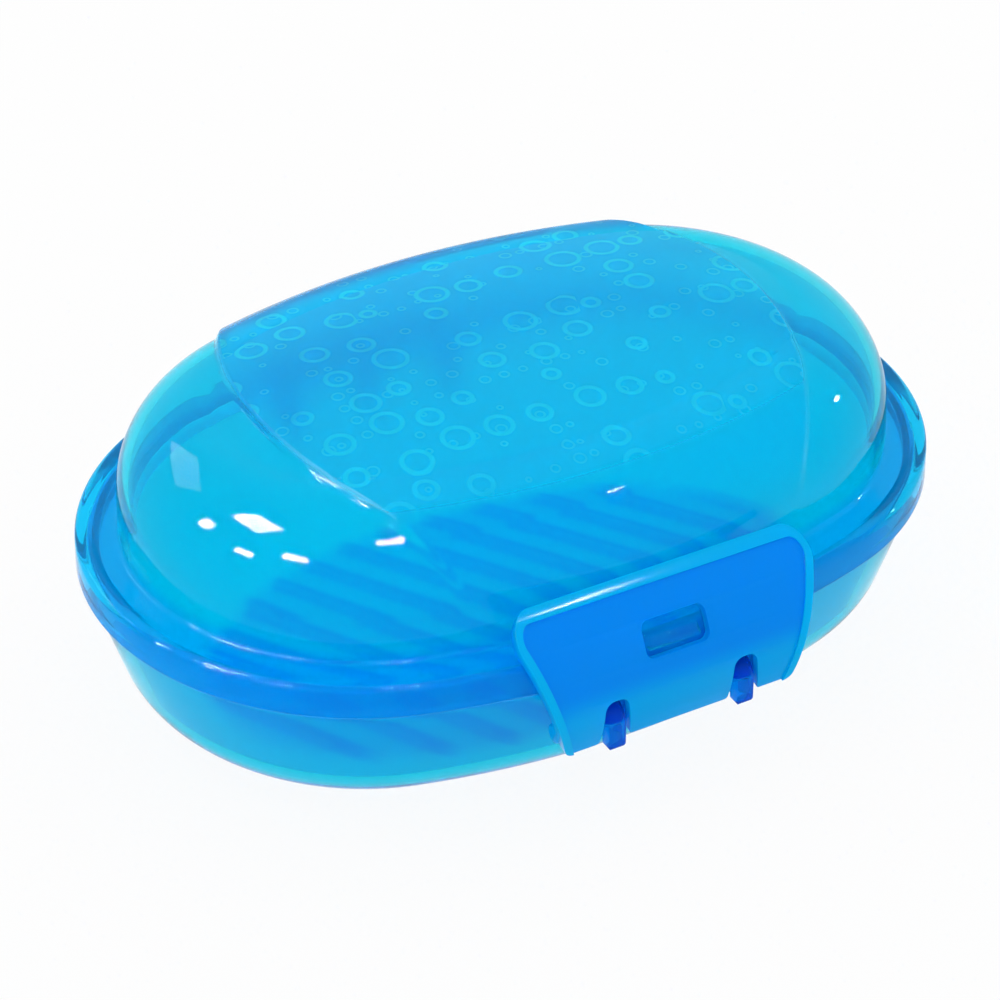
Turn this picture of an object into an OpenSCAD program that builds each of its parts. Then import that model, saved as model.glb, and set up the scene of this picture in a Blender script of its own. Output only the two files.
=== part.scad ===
// Travel soap box: a ribbed base, a domed lid hinged at the back, and a curved latch at the front.
// Millimetres. Origin in the middle of the flat underside, X along the length, Z up, latch at -Y.

/* [Outline] */
// Length of the lid's rim, end to end
rim_len = 120; // [116:1:126]
// Width of the lid's rim, front to back, without latch and hinge
rim_wid = 83.16; // [82.8:0.12:83.52]
// Height of the rim's top above the resting face
rim_z = 25.2; // [25:0.1:25.6]
// Wall thickness of both shells
wall = 1.6; // [1.4:0.1:1.8]

/* [Base] */
// How far the base's wall slopes from upright, in degrees
base_draft = 17.4; // [16:0.2:18]
// Outer radius where the wall turns into the floor
base_round = 11.6; // [11:0.1:12]
// Inset of the base's wall from the rim line at the ledge
ledge_inset = 0.7; // [0.6:0.05:0.8]
// Distance between the floor ribs
rib_pitch = 6.4; // [6:0.2:7]
// Direction of the floor ribs seen from above, in degrees
rib_turn = -60; // [-62:1:-58]

/* [Lid] */
// Height of the lid's skirt below the rim's top
skirt_drop = 4.7; // [4.6:0.05:4.8]
// Inset of the dome's foot from the rim line
dome_inset = 5.5; // [5.4:0.1:5.8]
// Height of the dome above the rim's top
dome_rise = 20.1; // [19.5:0.1:20.5]
// Outer radius of the dome's shoulder
dome_round = 12.8; // [12:0.2:13.2]
// Radius of the shallow crown on top
crown_r = 106; // [100:1:120]
// How far the middle panel stands out of the dome
panel_proud = 0.9; // [0.7:0.1:1.1]
// Half length of the middle panel on the long axis
panel_half = 36.3; // [35:0.1:37]
// Plan radius of the panel's two curved edges
panel_edge_r = 51; // [50:1:54]

/* [Latch] */
// Outer radius of the latch's curve, seen from the side
latch_r = 17.2; // [17.1:0.05:17.3]
// Thickness of the latch plate
latch_t = 1.5; // [1.4:0.05:1.6]
// Height of the latch's lower edge
latch_low = 12.6; // [12.4:0.1:12.8]
// Height of the latch's upper edge
latch_high = 32.0; // [31.6:0.1:32.2]
// Height of the line that the latch turns on
latch_axis_z = 15.0; // [14.9:0.05:15.1]
// Distance of that line in front of the middle
latch_axis_y = 42.0; // [41.9:0.05:42.1]
// Radius of the latch's rod
latch_rod_r = 1.35; // [1.3:0.01:1.4]

/* [Hinge] */
// Distance of the lid's turning line behind the middle
hinge_y = 44.6; // [44.5:0.05:44.8]
// Height of the lid's turning line
hinge_z = 19.8; // [19.7:0.05:19.9]
// Radius of the hinge rod on the base
hinge_rod_r = 1.5; // [1.45:0.01:1.55]
// Running gap around both rods
run_gap = 0.05; // [0.03:0.01:0.08]

/* [Hidden] */
$fn = 96;
part_gap = 0.3;
half_wid = rim_wid / 2;
// The outline is four arcs. Their centres lie 7 and 24 units from the middle, so they are 25 units apart
// and the arcs meet smoothly on the lines through the centres.
arc_unit = (rim_len - rim_wid) / 12;
end_x = 7 * arc_unit;
side_y = 24 * arc_unit;
end_r = rim_len / 2 - end_x;
side_r = end_r + 25 * arc_unit;
meet_reach = 14;
meet_x = end_x + meet_reach;
meet_y = 48;
skirt_z = rim_z - skirt_drop;
ledge_z = skirt_z - part_gap;
arc_steps = 9;
crown_steps = 6;

// base section values: its slope, its rounding, and the spigot that stands inside the lid's skirt
draft_run = tan(base_draft);
fillet_d = ledge_inset + draft_run * (ledge_z - base_round) + base_round / cos(base_draft);
spigot_out = 1.8;
spigot_in = 3.0;
spigot_below = 1.9;
spigot_top = rim_z - spigot_below;
spigot_chamfer = 0.4;
wall_run = wall / cos(base_draft);
spigot_foot = ledge_z - (spigot_in - ledge_inset - wall_run) / draft_run;

// lid section values: the skirt, the flat flange with its bead, and the dome's two arcs
skirt_out = 0.25;
skirt_in = 1.4;
corner_r = 1.3;
bead_drop = 0.25;
bead_in = 2.4;
flange_z = rim_z - bead_drop;
flange_under = spigot_top + part_gap;
dome_lean = 1.7;
crown_top = rim_z + dome_rise;
crown_c = [end_r, crown_top - crown_r];
lean_dir = [sin(dome_lean), cos(dome_lean)];
lean_in = [cos(dome_lean), -sin(dome_lean)];
wall_foot = [dome_inset, flange_z];
shoulder_start = wall_foot + dome_round * lean_in;
shoulder_gap = shoulder_start - crown_c;
shoulder_dot = shoulder_gap * lean_dir;
shoulder_left = shoulder_gap * shoulder_gap - pow(crown_r - dome_round, 2);
shoulder_t = sqrt(shoulder_dot * shoulder_dot - shoulder_left) - shoulder_dot;
shoulder_c = shoulder_start + shoulder_t * lean_dir;
shoulder_from = 180 - dome_lean;
shoulder_dir = shoulder_c - crown_c;
shoulder_to = atan2(shoulder_dir[1], shoulder_dir[0]);
panel_sink = 0.8;

// latch values: the plate is part of a drum whose middle lies behind and above the turning line
drum_back = 14.1;
drum_lift = 2.47;
drum_half = 30;
latch_cy = -latch_axis_y + drum_back;
latch_cz = latch_axis_z + drum_lift;
latch_in_r = latch_r - latch_t;
latch_widen = 0.306;
latch_foot_half = 12.95;
latch_half_low = latch_foot_half + latch_widen * latch_low;
latch_half_high = latch_foot_half + latch_widen * latch_high;
latch_end = asin((latch_high - latch_cz) / latch_r);
window_half = 4.7;
window_under = 2.0;
window_over = 2.5;
window_low = rim_z - window_under;
window_high = rim_z + window_over;
window_r = 1.2;
hook_x = 9.6;
hook_half = 1.3;
hook_r = 3.0;
hook_thick = 1.6;
hook_mouth = 1.0;
hook_tip_z = 11.4;
hook_tip_r = 0.75;
brace_step = 0.4;
catch_out = 1.3;
catch_half = 3.8;
catch_face = 0.7;
catch_top_out = 0.4;
catch_sink = 0.1;
slot_high = 19.2;
slot_flare = 0.95;
slot_top_half = hook_half + part_gap;
slot_low_half = hook_half + slot_flare;
slot_cut_x = 0.6;
slot_cut_z = 0.8;
rod_half = 17.6;
web_half_z = 1.0;
web_depth = 2.2;
web_gap = 0.1;
web_end = 0.4;

// hinge values
ear_half = 1.2;
ear_x = 13;
ear_r = 2.3;
ear_root = 2.0;
ear_lean = 0.8;
ear_drop = 8.5;
ear_sink = 0.2;
ear_cut = 40;
clip_r = 2.9;
clip_from = 1.6;
clip_to = 11.4;
clip_mouth = 1.15;
arm_in = 0.4;
arm_low = 0.2;
arm_top = 1.6;
arm_meet = 2.0;
arm_foot = 0.7;
weld = 0.05;
mouth_cut = 6;

function arc_points(c, r, from, to, steps) =
    [for (i = [0:steps]) c + r * [cos(from + (to - from) * i / steps), sin(from + (to - from) * i / steps)]];

function reversed(list) = [for (i = [len(list) - 1:-1:0]) list[i]];

// section of the dome's surface, from the wall's foot to the middle, moved in by t
function dome_line(t) = concat(
    arc_points(shoulder_c, dome_round - t, shoulder_from, shoulder_to, arc_steps),
    [for (i = [1:crown_steps])
        crown_c + (crown_r - t) * [cos(shoulder_to + (90 - shoulder_to) * i / crown_steps),
                                   sin(shoulder_to + (90 - shoulder_to) * i / crown_steps)]]
);

// the same line standing out by the panel's height, fading into the front and rear wall
function panel_line() = concat(
    [for (i = [0:arc_steps])
        let (a = shoulder_from + (shoulder_to - shoulder_from) * i / arc_steps)
        shoulder_c + (dome_round + panel_proud * min(1, i / (arc_steps * 0.6))) * [cos(a), sin(a)]],
    [for (i = [1:crown_steps])
        let (a = shoulder_to + (90 - shoulder_to) * i / crown_steps)
        crown_c + (crown_r + panel_proud) * [cos(a), sin(a)]]
);

function thousandths(v) = round(v * 1000) / 1000;

// a section of [inset from the rim line, height] points, carried round the four arcs of the outline
module around(section) {
    for (turn = [0, 180]) {
        rotate([0, 0, turn])
            intersection() {
                translate([end_x, 0, 0])
                    rotate_extrude(angle = 180, start = -90)
                    polygon([for (p = section) [end_r - thousandths(p[0]), thousandths(p[1])]]);
                linear_extrude(rim_len)
                    polygon([[end_x, 0], [meet_x, -meet_y], [rim_len, -meet_y], [rim_len, meet_y], [meet_x, meet_y]]);
            }
        rotate([0, 0, turn])
            intersection() {
                translate([0, -side_y, 0])
                    rotate_extrude(angle = 60, start = 60)
                    polygon([for (p = section) [side_r - thousandths(p[0]), thousandths(p[1])]]);
                linear_extrude(rim_len)
                    polygon([[0, -side_y], [meet_x, meet_y], [-meet_x, meet_y]]);
            }
    }
}

// the lens in the middle that the section doesn't reach
module middle(low, high) {
    translate([0, 0, low])
        linear_extrude(high - low)
        intersection() {
            translate([0, side_y]) circle(r = side_r - end_r);
            translate([0, -side_y]) circle(r = side_r - end_r);
        }
}

// an outline in the Y-Z plane, given thickness along X
module along_x(from, to, outline) {
    translate([from, 0, 0])
        rotate([90, 0, 90])
        linear_extrude(to - from)
        polygon(outline);
}

// a round bar along X
module bar_x(from, to, y, z, r) {
    translate([from, y, z])
        rotate([0, 90, 0])
        cylinder(r = r, h = to - from);
}

// a block from one Y-Z corner to the other
module block_x(from, to, y0, z0, y1, z1) {
    translate([from, y0, z0])
        cube([to - from, y1 - y0, z1 - z0]);
}

module base_body() {
    section = concat(
        [[end_r, 0], [fillet_d, 0]],
        arc_points([fillet_d, base_round], base_round, 270, 180 + base_draft, arc_steps),
        [[ledge_inset, ledge_z],
         [spigot_out, ledge_z],
         [spigot_out, spigot_top - spigot_chamfer],
         [spigot_out + spigot_chamfer, spigot_top],
         [spigot_in, spigot_top],
         [spigot_in, spigot_foot]],
        arc_points([fillet_d, base_round], base_round - wall, 180 + base_draft, 270, arc_steps),
        [[end_r, wall]]
    );
    around(section);
    middle(0, wall);
}

// rounded slanted ribs on the tray's floor, which keep the bar out of the water
module floor_ribs() {
    rib_r = 2.2;
    rib_rise = 0.9;
    floor_a = rim_len / 2 - fillet_d;
    floor_b = half_wid - fillet_d;
    count = 7;
    across = [-sin(rib_turn), cos(rib_turn)];
    along = [cos(rib_turn), sin(rib_turn)];
    k = pow(along[0] / floor_a, 2) + pow(along[1] / floor_b, 2);
    for (i = [-count:count]) {
        s = i * rib_pitch;
        m = s * (along[0] * across[0] / pow(floor_a, 2) + along[1] * across[1] / pow(floor_b, 2));
        q = s * s * (pow(across[0] / floor_a, 2) + pow(across[1] / floor_b, 2)) - 1;
        reach = m * m - k * q;
        if (reach > 0) {
            half = sqrt(reach) / k - rib_r;
            mid = -m / k;
            if (half > rib_r) {
                translate([s * across[0] + mid * along[0], s * across[1] + mid * along[1], wall + rib_rise - rib_r])
                    rotate([0, 0, rib_turn]) {
                    translate([-half, 0, 0]) rotate([0, 90, 0]) cylinder(r = rib_r, h = 2 * half);
                    translate([-half, 0, 0]) sphere(r = rib_r);
                    translate([half, 0, 0]) sphere(r = rib_r);
                }
            }
        }
    }
}

// front hook that the latch's rod snaps into from below
module front_hook(x) {
    from = x - hook_half;
    to = x + hook_half;
    y = -latch_axis_y;
    root = y + hook_r;
    low = latch_axis_z - hook_r;
    difference() {
        union() {
            bar_x(from, to, y, latch_axis_z, hook_r);
            block_x(from, to, y - hook_r, hook_tip_z + hook_tip_r, y - hook_r + hook_thick, latch_axis_z);
            bar_x(from, to, y - hook_r + hook_tip_r, hook_tip_z + hook_tip_r, hook_tip_r);
            along_x(from, to, [
                [y, latch_axis_z + hook_r],
                [y, low + brace_step],
                [root, low - 2 * brace_step],
                [root + 4 * brace_step, low],
                [root + 2 * brace_step, ledge_z - brace_step]
            ]);
        }
        bar_x(from - 1, to + 1, y, latch_axis_z, latch_rod_r + run_gap);
        block_x(from - 1, to + 1, y - hook_mouth, latch_axis_z - mouth_cut, y + hook_mouth, latch_axis_z);
    }
}

// rear ear that carries the hinge rod
module rear_ear(x) {
    bar_x(x - ear_half, x + ear_half, hinge_y, hinge_z, ear_r);
    along_x(x - ear_half, x + ear_half, [
        [half_wid - ear_root, ledge_z - ear_sink],
        [hinge_y, ledge_z - ear_sink],
        [hinge_y + ear_r * cos(ear_cut) - weld, hinge_z - ear_r * sin(ear_cut) + weld],
        [half_wid - ear_root - ear_lean, ledge_z - ear_drop]
    ]);
}

module base_shell() {
    color([0.0, 0.50, 0.86, 0.6])
    union() {
        base_body();
        intersection() {
            floor_ribs();
            translate([-rim_len / 2, -half_wid, 0]) cube([rim_len, rim_wid, ledge_z]);
        }
        front_hook(-hook_x);
        front_hook(hook_x);
        rear_ear(-ear_x);
        rear_ear(0);
        rear_ear(ear_x);
        bar_x(-ear_x - ear_half, ear_x + ear_half, hinge_y, hinge_z, hinge_rod_r);
    }
}

module lid_body() {
    inner_foot = shoulder_c - (dome_round - wall) * lean_in;
    section = concat(
        [[skirt_in, skirt_z], [-skirt_out, skirt_z]],
        arc_points([corner_r - 0.1, rim_z - corner_r], corner_r, 180, 90, 5),
        [[bead_in, flange_z], [dome_inset, flange_z]],
        dome_line(0),
        reversed(dome_line(wall)),
        [[inner_foot[0] - (inner_foot[1] - flange_under) * tan(dome_lean), flange_under],
         [skirt_in, flange_under]]
    );
    around(section);
    middle(crown_top - wall, crown_top);
}

module lid_panel() {
    section = concat(panel_line(), reversed(dome_line(panel_sink)));
    intersection() {
        union() {
            around(section);
            middle(crown_top - panel_sink, crown_top + panel_proud);
        }
        linear_extrude(2 * crown_top)
            intersection() {
                translate([panel_half - panel_edge_r, 0]) circle(r = panel_edge_r);
                translate([panel_edge_r - panel_half, 0]) circle(r = panel_edge_r);
            }
    }
}

// the nose in the middle of the rim that the latch's window drops over
module lid_catch() {
    low = window_low + part_gap;
    along_x(-catch_half, catch_half, [
        [-half_wid + skirt_in, low],
        [-half_wid - catch_out, low],
        [-half_wid - catch_out, low + catch_face],
        [-half_wid - catch_top_out, rim_z - catch_sink],
        [-half_wid + skirt_in, rim_z - catch_sink]
    ]);
}

// rear clip that snaps over the hinge rod, with the arm that joins it to the skirt
module rear_clip(from) {
    to = from + clip_to - clip_from;
    difference() {
        union() {
            bar_x(from, to, hinge_y, hinge_z, clip_r);
            along_x(from, to, [
                [half_wid - skirt_in + arm_in, skirt_z + arm_low],
                [half_wid - skirt_in + arm_in, rim_z - arm_top],
                [half_wid + arm_top, rim_z - arm_top],
                [hinge_y + arm_meet, hinge_z + arm_meet],
                [hinge_y, hinge_z + arm_foot]
            ]);
        }
        bar_x(from - 1, to + 1, hinge_y, hinge_z, hinge_rod_r + run_gap);
        block_x(from - 1, to + 1, hinge_y - clip_mouth, hinge_z - mouth_cut, hinge_y + clip_mouth, hinge_z);
    }
}

module lid_shell() {
    color([0.0, 0.66, 0.88, 0.6])
    union() {
        lid_body();
        lid_panel();
        lid_catch();
        rear_clip(clip_from);
        rear_clip(-clip_to);
    }
}

// front view of the latch: narrower at the bottom, with rounded corners
module latch_outline() {
    top_r = 3.0;
    low_r = 1.6;
    lean = atan(latch_widen);
    top_x = latch_half_high - top_r * (1 + sin(lean)) / cos(lean);
    low_x = latch_half_low - low_r * (1 - sin(lean)) / cos(lean);
    right = concat(
        arc_points([low_x, latch_low + low_r], low_r, 270, 360 - lean, 5),
        arc_points([top_x, latch_high - top_r], top_r, -lean, 90, 7)
    );
    polygon(concat(right, [for (p = reversed(right)) [-p[0], p[1]]]));
}

module latch_window() {
    right = concat(
        arc_points([window_half - window_r, window_low + window_r], window_r, 270, 360, 4),
        arc_points([window_half - window_r, window_high - window_r], window_r, 0, 90, 4)
    );
    polygon(concat(right, [for (p = reversed(right)) [-p[0], p[1]]]));
}

module latch_slot(x) {
    polygon([
        [x - slot_low_half, latch_low - 1],
        [x + slot_low_half, latch_low - 1],
        [x + slot_top_half, slot_high - slot_cut_z],
        [x + slot_top_half - slot_cut_x, slot_high],
        [x - slot_top_half + slot_cut_x, slot_high],
        [x - slot_top_half, slot_high - slot_cut_z]
    ]);
}

// rib that joins the rod to the plate between the slots
module latch_web(from, to) {
    translate([from, -latch_axis_y - web_depth, latch_axis_z - web_half_z])
        cube([to - from, web_depth, 2 * web_half_z]);
}

module front_latch() {
    color([0.0, 0.50, 0.92, 0.9])
    union() {
        intersection() {
            difference() {
                bar_x(-drum_half, drum_half, latch_cy, latch_cz, latch_r);
                bar_x(-drum_half - 1, drum_half + 1, latch_cy, latch_cz, latch_in_r);
                along_x(-drum_half - 1, drum_half + 1, [
                    [latch_cy, latch_cz],
                    [latch_cy - 2 * latch_r * cos(latch_end), latch_cz + 2 * latch_r * sin(latch_end)],
                    [latch_cy, latch_cz + 3 * latch_r]
                ]);
            }
            translate([0, latch_cy, 0])
                rotate([90, 0, 0])
                linear_extrude(drum_half)
                difference() {
                    latch_outline();
                    latch_window();
                    latch_slot(-hook_x);
                    latch_slot(hook_x);
                }
        }
        bar_x(-rod_half, rod_half, -latch_axis_y, latch_axis_z, latch_rod_r);
        latch_web(-hook_x + slot_low_half + web_gap, hook_x - slot_low_half - web_gap);
        latch_web(hook_x + slot_low_half + web_gap, latch_half_low - web_end);
        latch_web(-latch_half_low + web_end, -hook_x - slot_low_half - web_gap);
    }
}

base_shell();
lid_shell();
front_latch();
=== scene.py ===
"""Looks of a travel soap box: a ribbed base, a domed lid hinged behind, and a curved latch in front."""

import logging
import math
from dataclasses import dataclass, field
from enum import Enum

import bmesh
import bpy
from mathutils import Matrix, Vector


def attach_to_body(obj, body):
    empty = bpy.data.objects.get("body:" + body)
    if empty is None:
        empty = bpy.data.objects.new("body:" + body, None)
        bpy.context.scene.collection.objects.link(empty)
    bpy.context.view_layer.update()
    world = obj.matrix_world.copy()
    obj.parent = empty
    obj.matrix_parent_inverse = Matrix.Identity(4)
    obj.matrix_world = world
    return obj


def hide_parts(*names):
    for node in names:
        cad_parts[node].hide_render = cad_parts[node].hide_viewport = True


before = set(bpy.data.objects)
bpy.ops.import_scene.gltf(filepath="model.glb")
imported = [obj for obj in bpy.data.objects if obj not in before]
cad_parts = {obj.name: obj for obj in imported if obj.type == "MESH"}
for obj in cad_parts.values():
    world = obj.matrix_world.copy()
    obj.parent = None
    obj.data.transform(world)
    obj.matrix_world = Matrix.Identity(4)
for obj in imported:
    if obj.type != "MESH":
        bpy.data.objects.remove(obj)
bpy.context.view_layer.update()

MM = 0.001
LOG = logging.getLogger("soap_box")
WELD = 2e-6
DEGENERATE = 1e-6
STRAIGHT = math.radians(88)
ARC_STEP = 14.0
SHARP = math.radians(60)

Point2 = tuple[float, float]
Point3 = tuple[float, float, float]
Corner = Point3
Piece = bpy.types.Object
Socket = bpy.types.NodeSocket


class Body(Enum):
    """The moving bodies of the part."""

    BASE = "base"
    LID = "lid"
    LATCH = "latch"


# Plane geometry


def arc(centre: Point2, radius: float, start: float, end: float, steps: int) -> list[Point2]:
    """Points along a circular arc, with both ends, from one angle in degrees to another."""
    turns = [math.radians(start + (end - start) * i / steps) for i in range(steps + 1)]
    return [(centre[0] + radius * math.cos(a), centre[1] + radius * math.sin(a)) for a in turns]


def soften(corners: list[Corner], closed: bool = False) -> list[Point2]:
    """Round the corners of a line of straight runs.

    Args:
        corners: points with the radius that each is rounded by, 0 for none.
        closed: whether the last point joins the first.

    Returns:
        the line's points with short arcs in place of the rounded corners.
    """
    out: list[Point2] = []
    count = len(corners)
    for i, (x, y, radius) in enumerate(corners):
        here = Vector((x, y))
        if radius <= 0 or (not closed and i in (0, count - 1)):
            out.append((x, y))
            continue
        back = Vector(corners[i - 1][:2]) - here
        ahead = Vector(corners[(i + 1) % count][:2]) - here
        half = back.angle(ahead) / 2
        if half > STRAIGHT:
            out.append((x, y))
            continue
        room = 0.48 * min(back.length, ahead.length)
        reach = min(radius / math.tan(half), room)
        size = reach * math.tan(half)
        middle = here + (back.normalized() + ahead.normalized()).normalized() * (size / math.sin(half))
        first = here + back.normalized() * reach - middle
        last = here + ahead.normalized() * reach - middle
        a0 = math.atan2(first.y, first.x)
        turn = math.atan2(last.y, last.x) - a0
        turn = (turn + math.pi) % (2 * math.pi) - math.pi
        steps = max(3, math.ceil(math.degrees(abs(turn)) / ARC_STEP))
        for k in range(steps + 1):
            a = a0 + turn * k / steps
            out.append((middle.x + size * math.cos(a), middle.y + size * math.sin(a)))
    return out


# Modelling helpers


def pick_all() -> None:
    """Select all of the piece in edit mode."""
    bpy.ops.mesh.select_all(action="SELECT")


def trace(name: str, points: list[Vector], closed: bool) -> Piece:
    """Draw a line of edges as a new piece, vertex by vertex.

    Args:
        name: name of the new piece.
        points: places that the line runs through.
        closed: whether the line ends where it began.

    Returns:
        the new object, in edit mode with the whole line selected.
    """
    bpy.ops.mesh.primitive_plane_add(size=MM, location=(0, 0, 0))
    piece = bpy.context.object
    piece.name = name
    piece.data.name = name
    bpy.ops.object.mode_set(mode="EDIT")
    pick_all()
    bpy.ops.mesh.merge(type="CENTER")
    bpy.ops.mesh.select_mode(type="VERT")
    pick_all()
    bpy.ops.transform.translate(value=points[0])
    for start, end in zip(points, points[1:] + ([points[0]] if closed else [])):
        bpy.ops.mesh.extrude_region_move(TRANSFORM_OT_translate={"value": end - start})
    pick_all()
    bpy.ops.mesh.remove_doubles(threshold=DEGENERATE)
    return piece


def finish_shell(piece: Piece, angle: float = 35.0) -> Piece:
    """Close holes, turn faces outwards, leave edit mode and shade the piece smooth.

    Args:
        piece: mesh object in edit mode.
        angle: edges sharper than this many degrees stay sharp.

    Returns:
        the same object.
    """
    pick_all()
    bpy.ops.mesh.remove_doubles(threshold=WELD)
    bpy.ops.mesh.dissolve_degenerate(threshold=DEGENERATE)
    pick_all()
    bpy.ops.mesh.fill_holes(sides=0)
    pick_all()
    bpy.ops.mesh.normals_make_consistent(inside=False)
    bpy.ops.object.mode_set(mode="OBJECT")
    bpy.ops.object.shade_smooth_by_angle(angle=math.radians(angle))
    return piece


def activate(piece: Piece) -> None:
    """Make one object the only selected and active one.

    Args:
        piece: the object.
    """
    bpy.ops.object.select_all(action="DESELECT")
    piece.select_set(True)
    bpy.context.view_layer.objects.active = piece


def combine(target: Piece, tool: Piece, operation: str) -> None:
    """Apply an exact boolean to a piece and remove the tool.

    Args:
        target: piece that changes.
        tool: closed mesh that is added, cut away or kept.
        operation: UNION, DIFFERENCE or INTERSECT.
    """
    activate(target)
    modifier = target.modifiers.new("combine", "BOOLEAN")
    modifier.operation = operation
    modifier.solver = "EXACT"
    modifier.object = tool
    bpy.ops.object.modifier_apply(modifier=modifier.name)
    bpy.data.objects.remove(tool)


def join(pieces: list[Piece]) -> Piece:
    """Join separate meshes into the first one.

    Args:
        pieces: the objects to join.

    Returns:
        the first object, which now holds them all.
    """
    activate(pieces[0])
    for piece in pieces[1:]:
        piece.select_set(True)
    bpy.ops.object.join()
    return pieces[0]


def prism(name: str, outline: list[Vector], rise: Vector, bevel: float) -> Piece:
    """A solid with a flat outline and straight sides, with softened edges.

    Args:
        name: name of the piece.
        outline: corners of the closed outline in metres.
        rise: how far the outline is drawn out.
        bevel: width of the softened edges, 0 for none.

    Returns:
        the finished object.
    """
    piece = trace(name, outline, closed=True)
    bpy.ops.mesh.edge_face_add()
    bpy.ops.mesh.extrude_region_move(TRANSFORM_OT_translate={"value": rise})
    if bevel > 0:
        bevel_sharp(bevel, 2)
    return finish_shell(piece)


def bevel_sharp(width: float, segments: int) -> None:
    """Round every sharp edge of the piece in edit mode.

    Args:
        width: width of the rounded edge in metres.
        segments: number of faces across it.
    """
    pick_all()
    bpy.ops.mesh.normals_make_consistent(inside=False)
    bpy.ops.mesh.select_all(action="DESELECT")
    bpy.ops.mesh.select_mode(type="EDGE")
    bpy.ops.mesh.edges_select_sharp(sharpness=SHARP)
    bpy.ops.mesh.bevel(offset=width, segments=segments, affect="EDGES", clamp_overlap=True)


def prism_x(name: str, outline: list[Point2], low: float, high: float, bevel: float) -> Piece:
    """A solid with a closed (y, z) outline and straight sides from one X to another, all in mm."""
    corners = [Vector((low, y, z)) * MM for y, z in outline]
    return prism(name, corners, Vector(((high - low) * MM, 0, 0)), bevel * MM)


def rod_x(name: str, half: float, axis: Point2, radius: float, bevel: float) -> Piece:
    """A round bar along X with softened ends, all in mm.

    Args:
        name: name of the piece.
        half: half its length, which is centred on the box's middle.
        axis: Y and Z of its middle line.
        radius: its radius.
        bevel: width of the softened end edges.

    Returns:
        the finished object, with its place in its mesh.
    """
    bpy.ops.mesh.primitive_cylinder_add(
        vertices=48,
        radius=radius * MM,
        depth=2 * half * MM,
        location=(0, axis[0] * MM, axis[1] * MM),
        rotation=(0, math.pi / 2, 0),
    )
    piece = bpy.context.object
    piece.name = name
    bpy.ops.object.transform_apply(location=True, rotation=True, scale=True)
    bpy.ops.object.mode_set(mode="EDIT")
    bevel_sharp(bevel * MM, 3)
    return finish_shell(piece)


# The oval outline


@dataclass(frozen=True)
class Oval:
    """The box's plan: two end arcs and two side arcs that meet smoothly.

    The arcs' centres lie 7 and 24 units from the middle, so they are 25 units apart.
    """

    length: float = 120.0
    width: float = 83.16

    @property
    def unit(self) -> float:
        """The size that the arcs' centres are spaced by."""
        return (self.length - self.width) / 12

    @property
    def end_x(self) -> float:
        """Distance of an end arc's centre from the middle."""
        return 7 * self.unit

    @property
    def side_y(self) -> float:
        """Distance of a side arc's centre from the middle."""
        return 24 * self.unit

    @property
    def end_r(self) -> float:
        """Radius of the end arcs."""
        return self.length / 2 - self.end_x

    @property
    def side_r(self) -> float:
        """Radius of the side arcs."""
        return self.end_r + 25 * self.unit

    @property
    def end_half(self) -> float:
        """Half the angle of an end arc, in radians."""
        return math.atan2(24, 7)

    def spoke(self, x: float, y: float) -> Point3:
        """Line in plan from the centre of a point's own arc to the point, signs left out.

        Args:
            x: place along the box in mm.
            y: place across the box in mm.

        Returns:
            the line's X and Y, and the arc's radius.
        """
        x, y = abs(x), abs(y)
        if (x - self.end_x) * 24 > y * 7:
            return x - self.end_x, y, self.end_r
        return x, y + self.side_y, self.side_r

    def inset(self, x: float, y: float) -> float:
        """How far a point in plan lies inside the rim line, in mm."""
        dx, dy, radius = self.spoke(x, y)
        return radius - math.hypot(dx, dy)

    def inward(self, x: float, y: float) -> Vector:
        """Direction in plan from a point towards the inside, square to the rim line.

        Args:
            x: place along the box in mm.
            y: place across the box in mm.

        Returns:
            the unit direction.
        """
        dx, dy, _ = self.spoke(x, y)
        out = Vector((dx, dy)).normalized()
        return Vector((-out.x * math.copysign(1, x), -out.y * math.copysign(1, y)))

    def sweep(self, name: str, section: list[Point2], end_steps: int, side_steps: int) -> Piece:
        """Carry a section round the four arcs with the spin tool.

        Args:
            name: name of the piece.
            section: open line of (inset, height) points in mm, both ends at the end arcs' middle.
            end_steps: steps in each end arc.
            side_steps: steps in each side arc.

        Returns:
            the shell, in edit mode.
        """
        lead = Vector((7 / 25, -24 / 25))
        points = []
        for inset, height in section:
            reach = self.end_r - inset
            points.append(Vector((self.end_x + reach * lead.x, reach * lead.y, height)) * MM)
        piece = trace(name, points, closed=False)
        end_turn = 2 * self.end_half
        for side in (1, -1):
            for x, y, angle, steps in (
                (side * self.end_x, 0, end_turn, end_steps),
                (0, -side * self.side_y, math.pi - end_turn, side_steps),
            ):
                bpy.ops.mesh.spin(steps=steps, angle=-angle, center=(x * MM, y * MM, 0), axis=(0, 0, 1))
        return piece


OVAL = Oval()


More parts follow.
